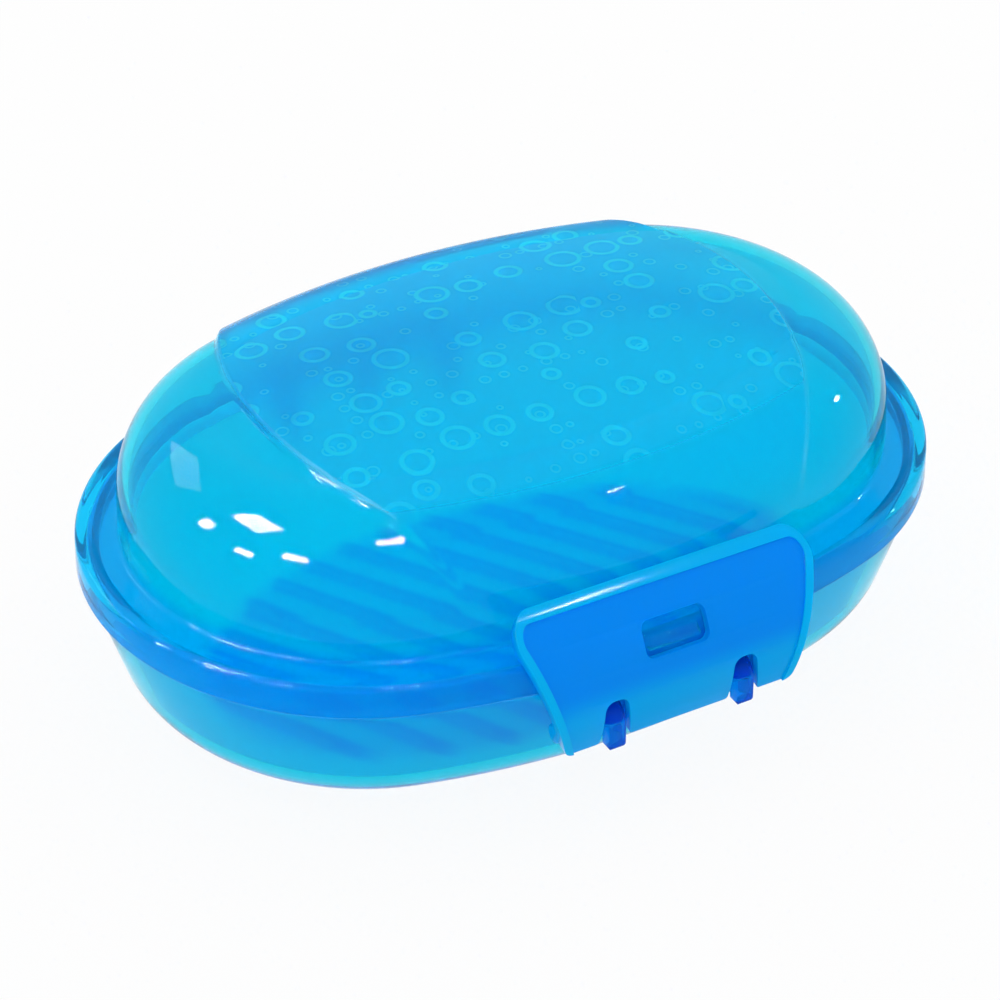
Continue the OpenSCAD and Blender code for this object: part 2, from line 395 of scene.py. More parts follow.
@dataclass(frozen=True)
class DomeLine:
    """The dome's section: a nearly upright wall, a round shoulder and a shallow crown, all in mm."""

    foot: Point2 = (5.5, 24.95)
    top: float = 45.3
    shoulder: float = 12.8
    crown: float = 106.0
    lean: float = 1.7

    @property
    def crown_centre(self) -> Point2:
        """Centre of the crown's arc."""
        return (OVAL.end_r, self.top - self.crown)

    @property
    def shoulder_centre(self) -> Point2:
        """Centre of the shoulder's arc, which meets both wall and crown smoothly.

        Returns:
            its inset and height.
        """
        a = math.radians(self.lean)
        along = Vector((math.sin(a), math.cos(a)))
        start = Vector(self.foot) + self.shoulder * Vector((math.cos(a), -math.sin(a)))
        gap = start - Vector(self.crown_centre)
        dot = gap.dot(along)
        t = math.sqrt(dot * dot - gap.length_squared + (self.crown - self.shoulder) ** 2) - dot
        found = start + t * along
        return (found.x, found.y)

    @property
    def meet(self) -> float:
        """Angle in degrees at which the shoulder turns into the crown."""
        c, s = Vector(self.crown_centre), Vector(self.shoulder_centre)
        return math.degrees(math.atan2(s.y - c.y, s.x - c.x))

    def points(self, inward: float, shoulder_steps: int, crown_steps: int) -> list[Point2]:
        """(inset, height) points from the wall to the middle of the top, moved inwards by a distance."""
        line = arc(self.shoulder_centre, self.shoulder - inward, 180 - self.lean, self.meet, shoulder_steps)
        return line + arc(self.crown_centre, self.crown - inward, self.meet, 90, crown_steps)[1:]


# Finishes


@dataclass(frozen=True)
class Wiring:
    """Short ways to place and link shader nodes in one node tree."""

    tree: bpy.types.NodeTree

    def fill(self, node: bpy.types.Node, feeds: dict[str | int, object]) -> None:
        """Link outputs to a node's inputs, or set the inputs' own values.

        Args:
            node: the node.
            feeds: an output socket, a number or a colour for each input.
        """
        for key, value in feeds.items():
            if isinstance(value, Socket):
                self.tree.links.new(value, node.inputs[key])
            else:
                node.inputs[key].default_value = value

    def add(self, kind: str, feeds: dict[str | int, object], **settings: object) -> bpy.types.Node:
        """Place a node.

        Args:
            kind: the node's type name without ShaderNode.
            feeds: what its inputs get.
            settings: properties to set on it.

        Returns:
            the new node.
        """
        node = self.tree.nodes.new("ShaderNode" + kind)
        for key, value in settings.items():
            setattr(node, key, value)
        self.fill(node, feeds)
        return node

    def math(self, operation: str, *values: object) -> Socket:
        """Place a Math node and give its result."""
        return self.add("Math", dict(enumerate(values)), operation=operation).outputs[0]

    def fade(
        self, value: object, low: float, high: float, start: float = 0.0, end: float = 1.0
    ) -> Socket:
        """Change smoothly from start to end while a value goes from low to high."""
        feeds = dict(enumerate((value, low, high, start, end)))
        return self.add("MapRange", feeds, interpolation_type="SMOOTHSTEP").outputs[0]

    def blend(self, share: object, first: object, second: object) -> Socket:
        """Mix two colours, share 0 for the first and 1 for the second."""
        return self.add("Mix", {0: share, 6: first, 7: second}, data_type="RGBA").outputs[2]

    def attribute(self, name: str) -> Socket:
        """Read a number that is stored on the mesh's points."""
        return self.add("Attribute", {}, attribute_name=name).outputs["Fac"]

    def noise(self, where: Socket, scale: float, detail: float) -> Socket:
        """Noise read at some coordinates: its scale, and how many finer layers it has."""
        return self.add("TexNoise", {"Vector": where, "Scale": scale, "Detail": detail}).outputs["Fac"]

    def spot(self) -> Socket:
        """Place in the object's own frame, in metres."""
        return self.add("TexCoord", {}).outputs["Object"]

    def place(self) -> list[Socket]:
        """X, Y and Z in the object's own frame, in mm."""
        scaled = self.add("VectorMath", {0: self.spot(), "Scale": 1 / MM}, operation="SCALE")
        return list(self.add("SeparateXYZ", {0: scaled.outputs[0]}).outputs)


def open_group(
    name: str, inputs: dict[str, str], outputs: dict[str, str]
) -> tuple[Wiring, bpy.types.Node, bpy.types.Node]:
    """Make a shader node group with its sockets.

    Args:
        name: name of the group.
        inputs: type of each input socket.
        outputs: type of each output socket.

    Returns:
        the group's wiring, its input node and its output node.
    """
    group = bpy.data.node_groups.new(name, "ShaderNodeTree")
    for way, sockets in (("INPUT", inputs), ("OUTPUT", outputs)):
        for label, kind in sockets.items():
            group.interface.new_socket(name=label, in_out=way, socket_type="NodeSocket" + kind)
    return Wiring(group), group.nodes.new("NodeGroupInput"), group.nodes.new("NodeGroupOutput")


def tint_group() -> bpy.types.NodeTree:
    """Group that deepens the plastic's colour by a share that stands for thick plastic and for painted
    shade and painted light, and lets it drift along the flow.

    Returns:
        the group.
    """
    inputs = {"Pale_tone": "Color", "Deep_tone": "Color", "Depth": "Float", "Drift": "Float"}
    w, into, result = open_group("plastic_tint", inputs, {"Colour": "Color"})
    given = into.outputs
    flow = w.noise(w.spot(), scale=28.0, detail=2.0)
    drift = w.math("MULTIPLY", w.math("SUBTRACT", flow, 0.5), given["Drift"])
    share = w.add("Clamp", {0: w.math("ADD", given["Depth"], drift)}).outputs[0]
    w.fill(result, {"Colour": w.blend(share, given["Pale_tone"], given["Deep_tone"])})
    return w.tree


def skin_group() -> bpy.types.NodeTree:
    """Group for the moulded skin: faint ripples from the mould and fine rubbed marks.

    Returns:
        the group.
    """
    inputs = {"Roughness": "Float", "Rubbed": "Float", "Ripple": "Float"}
    w, into, result = open_group("plastic_skin", inputs, {"Roughness": "Float", "Normal": "Vector"})
    given, where, worn = into.outputs, w.spot(), (0.62, 0.78)
    turned = w.add("Mapping", {"Vector": where, "Rotation": (0.3, 0.2, 0.9), "Scale": (60.0, 900.0, 400.0)})
    marks = w.noise(turned.outputs[0], scale=1.0, detail=2.0)
    rubbed = w.math("MULTIPLY", w.fade(marks, *worn), given["Rubbed"])
    waves = w.noise(where, scale=45.0, detail=1.0)
    bump = w.add("Bump", {"Strength": given["Ripple"], "Distance": 0.0004, "Height": waves})
    roughness = w.math("ADD", given["Roughness"], rubbed)
    w.fill(result, {"Roughness": roughness, "Normal": bump.outputs[0]})
    return w.tree


@dataclass(frozen=True)
class Plastic:
    """Tinted see-through plastic with the values that the three mouldings share."""

    name: str
    # thick is the deep colour, shown where the plastic is thick and where painted shade falls; painted
    # light moves the colour towards thin
    thin: Point3
    thick: Point3
    roughness: float
    clear: float
    ior: float = 1.13
    drift: float = 0.12
    rubbed: float = 0.03
    ripple: float = 0.05

    def depth(self, w: Wiring) -> object:
        """How deep the colour looks, from thick plastic and from painted shade and painted light, as a
        number or a socket from 0 to 1.
        """
        return 0.0

    def rough(self, w: Wiring) -> object:
        """Roughness before the rubbed marks, as a number or a socket."""
        return self.roughness

    def pattern(self, w: Wiring, colour: Socket) -> Socket:
        """Colour with the moulding's own pattern on it."""
        return colour

    def make(self, tint: bpy.types.NodeTree, skin: bpy.types.NodeTree) -> bpy.types.Material:
        """Build the material.

        Args:
            tint: group that gives the colour.
            skin: group that gives roughness and normal.

        Returns:
            the material.
        """
        material = bpy.data.materials.new(self.name)
        material.use_nodes = True
        w = Wiring(material.node_tree)
        thin, thick = (*self.thin, 1), (*self.thick, 1)
        feeds = {"Pale_tone": thin, "Deep_tone": thick, "Depth": self.depth(w), "Drift": self.drift}
        colour = w.add("Group", {}, node_tree=tint)
        w.fill(colour, feeds)
        surface = w.add("Group", {}, node_tree=skin)
        w.fill(surface, {"Roughness": self.rough(w), "Rubbed": self.rubbed, "Ripple": self.ripple})
        feeds = {
            "Base Color": self.pattern(w, colour.outputs["Colour"]),
            "Roughness": surface.outputs["Roughness"],
            "Normal": surface.outputs["Normal"],
            "IOR": self.ior,
            "Transmission Weight": self.clear,
        }
        w.fill(material.node_tree.nodes["Principled BSDF"], feeds)
        return material


@dataclass(frozen=True)
class TrayPlastic(Plastic):
    """The base's plastic: deeper round the rim, and in hooks and ears for their thick plastic and as
    painted shade under the rim; painted shade darkens the ribbed floor, darker still in the rib grooves.
    Sizes in mm.
    """

    rim_z: Point2 = (20.0, 20.8)
    rim_share: float = 0.15
    under_rim: Point2 = (19.9, 20.1)
    wall_y: Point2 = (40.7, 41.1)
    floor_shade_half: Point2 = (45.5, 27.0)
    # painted shade: the ribbed floor inside this oval is darkened, low down only, with darker painted shade
    # along the rib grooves
    floor_shade_edge: Point2 = (0.93, 1.03)
    floor_shade_z: Point2 = (3.0, 5.0)
    floor_shade_share: float = 0.4
    rib_pitch: float = 6.4
    rib_turn: float = -60.0
    groove_shade: float = 0.65
    groove_shade_at: float = 0.78
    groove_shade_line: Point2 = (0.05, 0.2)

    def depth(self, w: Wiring) -> object:
        """Deeper round the rim, and in the fittings outside the wall for their thick plastic and as painted
        shade under the rim; painted shade on the floor, darker in its rib grooves.

        Args:
            w: the material's wiring.

        Returns:
            a socket, from 0 to 1.
        """
        x, y, z = w.place()
        rim = w.fade(z, *self.rim_z, 0.0, self.rim_share)
        # fittings outside the wall below the rim: deep for their thick plastic, and painted shade under the
        # rim
        outside = w.fade(w.math("ABSOLUTE", y), *self.wall_y)
        fittings = w.math("MULTIPLY", outside, w.fade(z, *self.under_rim, 1.0, 0.0))
        # painted shade: darken the floor inside the oval
        a = w.math("POWER", w.math("DIVIDE", x, self.floor_shade_half[0]), 2.0)
        b = w.math("POWER", w.math("DIVIDE", y, self.floor_shade_half[1]), 2.0)
        inside = w.fade(w.math("SQRT", w.math("ADD", a, b)), *self.floor_shade_edge, 1.0, 0.0)
        # painted shade in the rib grooves: a dark line along each rib row
        turn = math.radians(self.rib_turn)
        parts = w.math("MULTIPLY", x, -math.sin(turn)), w.math("MULTIPLY", y, math.cos(turn))
        rows = w.math("DIVIDE", w.math("ADD", *parts), self.rib_pitch)
        off = w.math("SUBTRACT", w.math("FRACT", w.math("ADD", rows, 0.5)), self.groove_shade_at)
        groove_shade = w.fade(w.math("ABSOLUTE", off), *self.groove_shade_line, self.groove_shade, 0.0)
        floor = w.math("MULTIPLY", inside, w.math("ADD", groove_shade, self.floor_shade_share))
        low = w.math("MULTIPLY", floor, w.fade(z, *self.floor_shade_z, 1.0, 0.0))
        return w.math("MAXIMUM", w.math("MAXIMUM", rim, fittings), low)


@dataclass(frozen=True)
class CoverPlastic(Plastic):
    """The lid's plastic: deeper in the rim, frosted on the panel, with bubbles on top. Sizes in mm."""

    rim_z: Point2 = (25.0, 26.0)
    rim_share: float = 0.88
    wall_y: Point2 = (41.9, 42.3)
    panel_share: Point2 = (0.4, 1.0)
    panel_back: Point2 = (-8.0, 18.0)
    frost: float = 0.4
    frost_z: Point2 = (41.6, 43.6)
    bubble_z: Point2 = (41.6, 44.6)
    bubble_line: Point2 = (0.0272, 0.068)
    bubble_share: float = 0.85
    bubble_pitch: float = 6.6
    large: Point3 = (0.14, 0.2, 0.25)
    finer: float = 0.47
    small: Point3 = (0.1, 0.16, 0.6)
    small_share: float = 0.7
    scatter: float = 0.55
    pale: Point3 = (0.02, 0.93, 1.0)

    def depth(self, w: Wiring) -> object:
        """Deeper in the rim and the fittings outside the wall, and towards the panel's back.

        Args:
            w: the material's wiring.

        Returns:
            a socket, from 0 to 1.
        """
        _, y, z = w.place()
        rim = w.fade(z, *self.rim_z, self.rim_share, 0.0)
        outside = w.fade(w.math("ABSOLUTE", y), *self.wall_y)
        panel = w.math("MULTIPLY", w.attribute("panel"), w.fade(y, *self.panel_back, *self.panel_share))
        return w.math("MAXIMUM", w.math("MAXIMUM", rim, outside), panel)

    def rough(self, w: Wiring) -> object:
        """Frosted on the panel's top."""
        top = w.fade(w.place()[2], *self.frost_z)
        return w.fade(w.math("MULTIPLY", w.attribute("panel"), top), 0.0, 1.0, self.roughness, self.frost)

    def bubbles(
        self, w: Wiring, pitch: float, least: float, span: float, kept: float
    ) -> Socket:
        """Rings of mixed sizes seen from above.

        Args:
            w: the material's wiring.
            pitch: distance between bubbles in mm.
            least: smallest ring as a share of the pitch.
            span: how much larger the largest is.
            kept: share of the places that have no ring.

        Returns:
            1 on a ring's line and 0 elsewhere.
        """
        feeds = {"Vector": w.spot(), "Scale": 1 / (pitch * MM), "Randomness": self.scatter}
        cells = w.add("TexVoronoi", {}, voronoi_dimensions="2D")
        w.fill(cells, feeds)
        chance = w.add("SeparateColor", {0: cells.outputs["Color"]}).outputs
        radius = w.math("ADD", w.math("MULTIPLY", chance[0], span), least)
        off = w.math("ABSOLUTE", w.math("SUBTRACT", cells.outputs["Distance"], radius))
        line = w.fade(off, *self.bubble_line, 1.0, 0.0)
        return w.math("MULTIPLY", line, w.math("GREATER_THAN", chance[1], kept))

    def pattern(self, w: Wiring, colour: Socket) -> Socket:
        """Pale bubbles on the panel's top.

        Args:
            w: the material's wiring.
            colour: the plastic's colour.

        Returns:
            the colour to show.
        """
        large = self.bubbles(w, self.bubble_pitch, *self.large)
        small = self.bubbles(w, self.bubble_pitch * self.finer, *self.small)
        both = w.math("MAXIMUM", large, w.math("MULTIPLY", small, self.small_share))
        panel = w.fade(w.attribute("panel"), 0.9, 1.0)
        printed = w.math("MULTIPLY", w.fade(w.place()[2], *self.bubble_z), panel)
        share = w.math("MULTIPLY", w.math("MULTIPLY", both, printed), self.bubble_share)
        return w.blend(share, colour, (*self.pale, 1))


@dataclass(frozen=True)
class LatchPlastic(Plastic):
    """The latch's cloudy plastic, with a paler raised border and painted light that makes its lower end
    paler, as if lit from below. Sizes in mm.
    """

    border_share: float = 0.9
    lit_low_end: Point2 = (17.5, 22.0)
    lit_low_share: float = 0.6

    def depth(self, w: Wiring) -> object:
        """Less deep on the border, and paler towards the lower end where painted light from below falls.

        Args:
            w: the material's wiring.

        Returns:
            a socket, from 0 to 1.
        """
        pale = w.math("MULTIPLY", w.attribute("border"), self.border_share)
        # painted light: the lower end is made paler, as if lit by the floor below
        lit_lower = w.fade(w.place()[2], *self.lit_low_end, self.lit_low_share, 0.0)
        return w.math("SUBTRACT", 1.0, w.math("MAXIMUM", pale, lit_lower))


# The three mouldings


@dataclass
class Moulding:
    """One moulding and the piece that it is modelled in."""

    piece: Piece | None = field(default=None)

    def fuse(self, tools: list[Piece], angle: float) -> Piece:
        """Add closed meshes to the piece and smooth the whole.

        Args:
            tools: meshes to add, one after another.
            angle: edges sharper than this many degrees stay sharp.

        Returns:
            the finished piece.
        """
        for tool in tools:
            combine(self.piece, tool, "UNION")
        activate(self.piece)
        bpy.ops.object.shade_smooth_by_angle(angle=math.radians(angle))
        return self.piece


@dataclass
class BaseShell(Moulding):
    """The lower tray with its ribs, inner rim, front hooks and rear ears. Sizes in mm."""

    wall: float = 1.6
    ledge: Point2 = (0.7, 20.2)
    draft: float = 17.4
    round: float = 11.6
    rim_out: float = 1.8
    rim_in: float = 3.0
    rim_top: float = 23.3
    rib_pitch: float = 6.4
    rib_turn: float = -60.0
    rib_radius: float = 2.2
    rib_rise: float = 0.9
    hook_x: float = 9.6
    hook_half: float = 1.3
    hook_out: float = 3.0
    hook_bore: float = 1.4
    hook_mouth: float = 1.0
    hook_low: float = 11.4
    hook_round: float = 1.15
    latch_axis: Point2 = (-42.0, 15.0)
    hinge_axis: Point2 = (44.6, 19.8)
    ear_top: Point2 = (39.4, 20.0)
    ear_foot: Point2 = (38.6, 11.7)
    ear_half: float = 1.2
    ear_radius: float = 2.3
    rod_radius: float = 1.5
    edge: float = 0.25
    ear_places: tuple[float, ...] = (-13.0, 0.0, 13.0)
    rod_half: float = 14.0

    @property
    def turn_in(self) -> float:
        """Inset at which the rounded lower edge has become the flat floor.

        Returns:
            the inset in mm.
        """
        lean = math.radians(self.draft)
        rise = self.ledge[1] - self.round
        return self.ledge[0] + math.tan(lean) * rise + self.round / math.cos(lean)

    def section(self) -> list[Point2]:
        """The tray's section from the underside round the rim to the inside of the floor.

        Returns:
            (inset, height) points.
        """
        lean = math.radians(self.draft)
        gap = self.rim_in - self.ledge[0] - self.wall / math.cos(lean)
        rim_foot = self.ledge[1] - gap / math.tan(lean)
        low = arc((self.turn_in, self.round), self.round, 270, 180 + self.draft, 16)
        high = arc((self.turn_in, self.round), self.round - self.wall, 180 + self.draft, 270, 16)
        rim = soften(
            [
                (*low[-1], 0),
                (*self.ledge, 0.35),
                (self.rim_out, self.ledge[1], 0.25),
                (self.rim_out, self.rim_top, 0.4),
                (self.rim_in, self.rim_top, 0.4),
                (self.rim_in, rim_foot, 3.0),
                (*high[0], 0),
            ]
        )
        return [(OVAL.end_r, 0)] + low[:-1] + rim + high[1:] + [(OVAL.end_r, self.wall)]

    def ribs(self) -> Piece:
        """The slanted rounded ribs on the floor, as one mesh of separate bars.

        Returns:
            the mesh.
        """
        turn = math.radians(self.rib_turn)
        along = Vector((math.cos(turn), math.sin(turn)))
        across = Vector((-along.y, along.x))
        a, b = OVAL.length / 2 - self.turn_in, OVAL.width / 2 - self.turn_in
        k = (along.x / a) ** 2 + (along.y / b) ** 2
        bars = []
        for i in range(-7, 8):
            s = i * self.rib_pitch
            m = s * (along.x * across.x / a**2 + along.y * across.y / b**2)
            q = s * s * ((across.x / a) ** 2 + (across.y / b) ** 2) - 1
            reach = m * m - k * q
            half = math.sqrt(reach) / k - self.rib_radius if reach > 0 else 0
            if half <= self.rib_radius:
                continue
            middle = s * across - m / k * along
            bars.append(self.rib(middle, half, turn))
        return join(bars)

    def rib(self, middle: Vector, half: float, turn: float) -> Piece:
        """One rib: a ball whose halves are drawn apart, cut flat inside the floor's thickness.

        Args:
            middle: plan place of its middle.
            half: half its length between the round ends.
            turn: its direction in radians.

        Returns:
            the rib's mesh.
        """
        z = self.wall + self.rib_rise - self.rib_radius
        bpy.ops.mesh.primitive_uv_sphere_add(segments=32, ring_count=16, radius=self.rib_radius * MM)
        bar = bpy.context.object
        bar.name = "floor_rib"
        bar.rotation_euler = (0, math.pi / 2, 0)
        bpy.ops.object.transform_apply(location=True, rotation=True, scale=True)
        for vertex in bar.data.vertices:
            vertex.co.x += math.copysign(half * MM, vertex.co.x) if abs(vertex.co.x) > 1e-7 else 0
        move = Matrix.Translation(Vector((middle.x, middle.y, z)) * MM)
        bar.data.transform(move @ Matrix.Rotation(turn, 4, "Z"))
        bpy.ops.object.mode_set(mode="EDIT")
        pick_all()
        cut = Vector((0, 0, self.wall / 2)) * MM
        bpy.ops.mesh.bisect(plane_co=cut, plane_no=(0, 0, 1), use_fill=True, clear_inner=True)
        bpy.ops.object.mode_set(mode="OBJECT")
        return bar

    def hook(self, x: float) -> Piece:
        """One front hook, open below, that the latch's rod snaps into.

        Args:
            x: place of its middle along the box.

        Returns:
            the hook's mesh.
        """
        y, z = self.latch_axis
        out, bore, mouth, low = self.hook_out, self.hook_bore, self.hook_mouth, self.hook_low
        lip = math.degrees(math.asin(mouth / bore))
        front = [(y - out, low, 0.95), (y - out, z - 0.2, 0)]
        front += [(*p, 0) for p in arc((y, z), out, 180, 100, 12)]
        root = [(y + 3.8, 19.8, 0), (y + 4.6, 12.0, 0), (y + mouth, 12.4, 0.4)]
        inside = [(*p, 0) for p in arc((y, z), bore, lip - 90, 270 - lip, 20)]
        outline = soften(front + root + inside + [(y - mouth - 0.25, low, 0.75)], closed=True)
        half = self.hook_half
        hook = prism_x("front_hook", outline, x - half, x + half, self.edge)
        top, foot, bend = 30.0, low - 0.1, self.hook_round
        ends = [(x - half, top, 0), (x - half, foot, bend), (x + half, foot, bend), (x + half, top, 0)]
        corners = [Vector((p, -50.0, q)) * MM for p, q in soften(ends)]
        combine(hook, prism("hook_front", corners, Vector((0, 20.0, 0)) * MM, 0), "INTERSECT")
        return hook

    def ear(self, x: float) -> Piece:
        """One rear ear that carries the hinge rod, at a place along the box."""
        outline = [self.ear_top] + arc(self.hinge_axis, self.ear_radius, 175, -50, 20) + [self.ear_foot]
        return prism_x("rear_ear", outline, x - self.ear_half, x + self.ear_half, self.edge)

    def build(self) -> Piece:
        """Model the whole moulding.

        Returns:
            the finished piece.
        """
        self.piece = finish_shell(OVAL.sweep("base_moulding", self.section(), 60, 36))
        hooks = [self.hook(-self.hook_x), self.hook(self.hook_x)]
        ears = [self.ear(x) for x in self.ear_places]
        rod = rod_x("hinge_rod", self.rod_half, self.hinge_axis, self.rod_radius, 0.3)
        return self.fuse([join(hooks + ears), join([rod, self.ribs()])], 35)


@dataclass
class LidShell(Moulding):
    """The domed cover with its skirt, raised panel, catch and rear clips. Sizes in mm."""

    line: DomeLine = field(default_factory=DomeLine)
    wall: float = 1.6
    skirt_low: float = 20.5
    rim_top: float = 25.2
    under: float = 23.6
    panel_half: float = 36.3
    panel_edge: float = 51.0
    panel_rise: float = 0.88
    panel_ramp: float = 1.2
    panel_rows: int = 5
    strip: float = 2.0
    skin: float = 0.8
    climb: float = 0.6
    aligned: float = 0.7
    hinge_axis: Point2 = (44.6, 19.8)
    clip_out: float = 2.9
    clip_bore: float = 1.55
    clip_mouth: float = 1.15
    clip_from: float = 1.6
    clip_to: float = 11.4
    catch_half: float = 3.8
    edge: float = 0.2

    def section(self) -> list[Point2]:
        """The lid's section from the middle of the top, out round the rim and back inside.

        Returns:
            (inset, height) points.
        """
        outer = self.line.points(0.0, 22, 26)
        inner = self.line.points(self.wall, 16, 10)
        lean = math.tan(math.radians(self.line.lean))
        foot_in = inner[0][0] - (inner[0][1] - self.under) * lean
        rim = soften(
            [
                (*outer[0], 0),
                (*self.line.foot, 0.7),
                (2.5, self.line.foot[1], 0.5),
                (1.9, self.rim_top, 0.5),
                (-0.1, self.rim_top, 1.25),
                (-0.25, self.skirt_low, 0.35),
                (1.4, self.skirt_low, 0.35),
                (1.4, self.under, 0.4),
                (foot_in, self.under, 0.6),
                (*inner[0], 0),
            ]
        )
        return outer[::-1][:-1] + rim + inner[1:]

    def edge_gap(self, x: float, y: float) -> float:
        """How far a point in plan lies inside the panel's nearer curved edge, in mm."""
        return self.panel_edge - math.hypot(abs(x) - self.panel_half + self.panel_edge, y)

    def side(self, place: Vector) -> Vector:
        """A point as inset and height in the dome's section, in mm."""
        return Vector((min(OVAL.inset(place.x, place.y), OVAL.end_r), place.z))

    def outer_side(self, place: Vector) -> bool:
        """Tell whether a point lies on the dome's outer skin above its upright wall.

        Args:
            place: the point in mm.

        Returns:
            True when it does.
        """
        side = self.side(place)
        shoulder, crown = Vector(self.line.shoulder_centre), Vector(self.line.crown_centre)
        if place.z < shoulder.y - 1:
            return False
        if side.x < shoulder.x:
            return (side - shoulder).length > self.line.shoulder - self.skin
        return (side - crown).length > self.line.crown - self.skin

    def score_panel(self) -> None:
        """Cut rows of edges into the dome's outer skin that follow the panel's two curved edges."""
        mesh = self.piece.data
        work = bmesh.new()
        work.from_mesh(mesh)
        reach = self.panel_ramp + 2.0

        def cut(faces: list[bmesh.types.BMFace], place: Vector, normal: Vector) -> list[bmesh.types.BMFace]:
            """Split some faces along a plane.

            Args:
                faces: faces to split.
                place: a point of the plane in mm.
                normal: the plane's direction.

            Returns:
                all the parts of the faces.
            """
            parts = {*faces, *(e for f in faces for e in f.edges), *(v for f in faces for v in f.verts)}
            found = bmesh.ops.bisect_plane(
                work, geom=list(parts), dist=DEGENERATE, plane_co=place * MM, plane_no=normal
            )
            return [part for part in found["geom"] if isinstance(part, bmesh.types.BMFace)]

        skin = []
        for face in work.faces:
            middle = face.calc_center_median() / MM
            near = abs(self.edge_gap(middle.x, middle.y)) < reach
            if near and len(face.verts) < 9 and self.outer_side(middle):
                skin.append(face)
        count = math.ceil(OVAL.width / 2 / self.strip)
        for k in range(-count, count + 1):
            skin = cut(skin, Vector((0, self.strip * k, 0)), Vector((0, 1, 0)))
        strips: dict[tuple[bool, int], list[bmesh.types.BMFace]] = {}
        for face in skin:
            x, y, _ = face.calc_center_median() / MM
            strips.setdefault((x > 0, math.floor(y / self.strip)), []).append(face)
        for (right, k), faces in strips.items():
            for row in range(self.panel_rows + 2):
                radius = self.panel_edge + self.panel_ramp * (1 - row / self.panel_rows)
                ends = []
                for y in (self.strip * k, self.strip * (k + 1)):
                    x = self.panel_half - self.panel_edge + math.sqrt(radius**2 - y * y)
                    ends.append(Vector((x if right else -x, y, 0)))
                line = ends[1] - ends[0]
                faces = cut(faces, ends[0], Vector((line.y, -line.x, 0)))
        work.to_mesh(mesh)
        work.free()

    def turn(self, side: Vector) -> float:
        """Angle in degrees of a point of the dome's section about the shoulder's centre."""
        x, y = self.line.shoulder_centre
        return math.degrees(math.atan2(side.y - y, side.x - x))

    def on_crown(self, side: Vector) -> bool:
        """Whether a point of the section belongs to the crown's arc and not to the shoulder's."""
        return self.turn(side) < self.line.meet and side.x > self.line.shoulder_centre[0]

    def lift(self, place: Vector) -> float:
        """How far up the panel's step a point of the dome's outside lies.

        Args:
            place: the point in mm.

        Returns:
            0 beside the panel, 1 on it.
        """
        side = self.side(place)
        wall = 180 - self.line.lean
        climb = (wall - self.turn(side)) / (self.climb * (wall - self.line.meet))
        share = 1.0 if self.on_crown(side) else min(1.0, climb)
        ramp = min(1.0, max(0.0, self.edge_gap(place.x, place.y) / self.panel_ramp + 1.0))
        return ramp * ramp * (3 - 2 * ramp) * max(0.0, share)

    def leaning(self, place: Vector, normal: Vector) -> Vector:
        """Normal of the raised surface over a point of the plain dome.

        Args:
            place: the point in mm.
            normal: the plain dome's normal there.

        Returns:
            the normal, tipped by the slope of the panel's step.
        """
        step = 0.05
        first = normal.orthogonal().normalized()
        tipped = normal.copy()
        for along in (first, normal.cross(first)):
            slope = (self.lift(place + along * step) - self.lift(place - along * step)) / (2 * step)
            tipped -= along * slope * self.panel_rise
        return tipped.normalized()

    def raise_panel(self) -> None:
        """Lift the middle of the dome's outside, with a short rounded slope at its two curved edges."""
        mesh = self.piece.data
        shoulder, crown = Vector(self.line.shoulder_centre), Vector(self.line.crown_centre)
        panel = mesh.attributes.new("panel", "FLOAT", "POINT")
        skin = mesh.attributes.new("skin_normal", "FLOAT_VECTOR", "POINT")
        for vertex in mesh.vertices:
            place = vertex.co / MM
            side = self.side(place)
            on_crown = self.on_crown(side)
            if place.z < shoulder.y and not on_crown:
                continue
            hub, radius = (crown, self.line.crown) if on_crown else (shoulder, self.line.shoulder)
            out = side - hub
            if out.length < radius - 0.5:
                continue
            lift = self.lift(place)
            panel.data[vertex.index].value = lift
            inward, ray = OVAL.inward(place.x, place.y), out.normalized()
            moved = hub + ray * (radius + self.panel_rise * lift) - side
            vertex.co += Vector((inward.x * moved.x, inward.y * moved.x, moved.y)) * MM
            plain = Vector((inward.x * ray.x, inward.y * ray.x, ray.y)).normalized()
            skin.data[vertex.index].vector = self.leaning(place, plain)

    def settle_normals(self) -> None:
        """Give the dome's outside the normals of its curves, so that highlights run smoothly over it."""
        mesh = self.piece.data
        skin = mesh.attributes["skin_normal"].data
        normals: list[Vector] = []
        for face in mesh.polygons:
            found = [skin[mesh.loops[i].vertex_index].vector.copy() for i in face.loop_indices]
            known = all(normal.length > 0.9 for normal in found)
            outside = known and all(normal.dot(face.normal) > self.aligned for normal in found)
            normals += [normal.normalized() if outside else Vector() for normal in found]
        mesh.normals_split_custom_set(normals)
        mesh.attributes.remove(mesh.attributes["skin_normal"])

    def catch(self) -> Piece:
        """The nose on the rim that the latch's window drops over.

        Returns:
            the nose's mesh.
        """
        root, nose, low, high = -40.4, -42.88, 23.5, 25.0
        corners = [(root, low, 0), (nose, low, 0.3), (nose, 24.2, 0.3), (-41.9, high, 0.3), (root, high, 0)]
        return prism_x("catch", soften(corners, closed=True), -self.catch_half, self.catch_half, self.edge)

